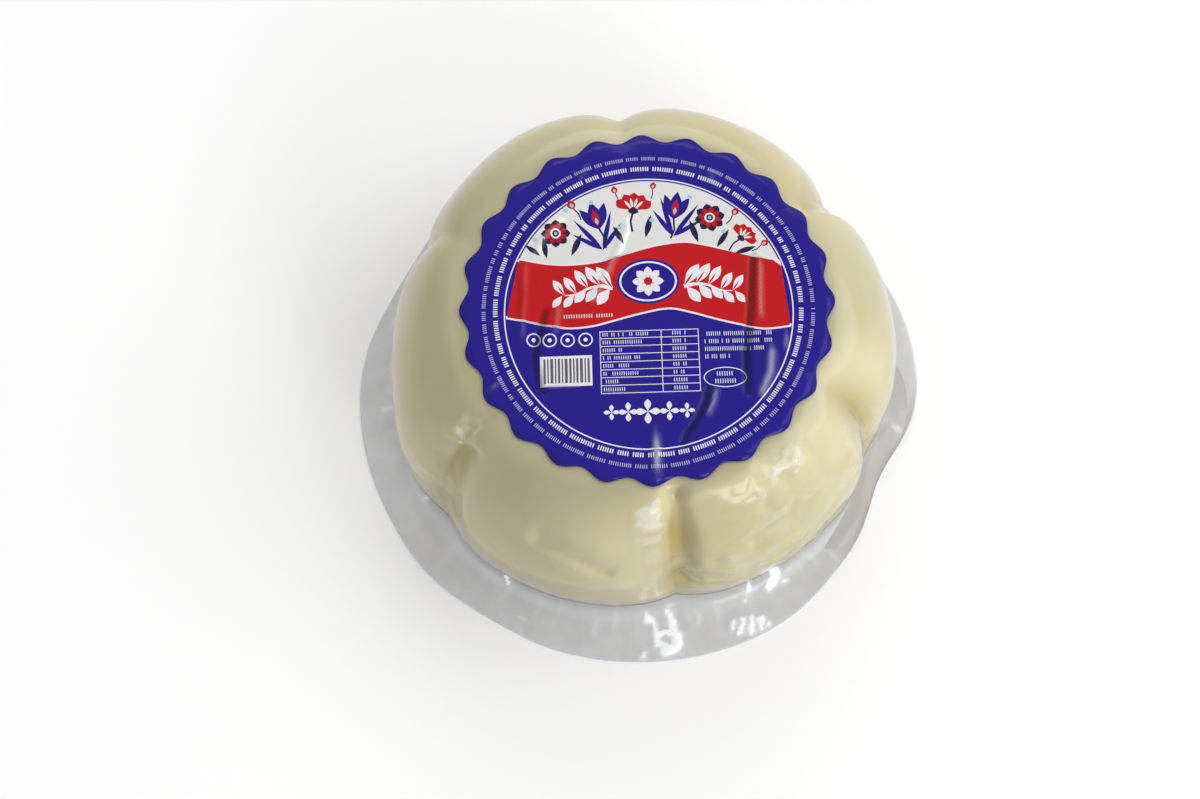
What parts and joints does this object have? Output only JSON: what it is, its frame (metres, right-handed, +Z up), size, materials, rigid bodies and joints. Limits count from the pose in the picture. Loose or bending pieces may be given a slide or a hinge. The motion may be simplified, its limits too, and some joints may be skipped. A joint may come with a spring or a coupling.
{
  "type": "wrapped butter block",
  "caption": "Round lobed butter block, vacuum-packed in clear film on a flat trimmed film flange, with a scalloped round label on top.",
  "frame": {"origin": "centre of the flat underside of the film that the pack rests on", "axes": "+Z up through the label, -Y the side towards the viewer of the picture, +X to the right"},
  "size_m": [0.1283, 0.1285, 0.0527],
  "materials": {
    "butter": "pale cream butter under tight clear film, softly glossy",
    "clear_film": "clear glossy vacuum film with fine wrinkles",
    "label_print": "glossy printed film label, blue with red and white fields"
  },
  "bodies": {
    "root": {"butter_block": "butter", "film_flange": "clear_film", "label": "label_print"}
  },
  "joints": []
}
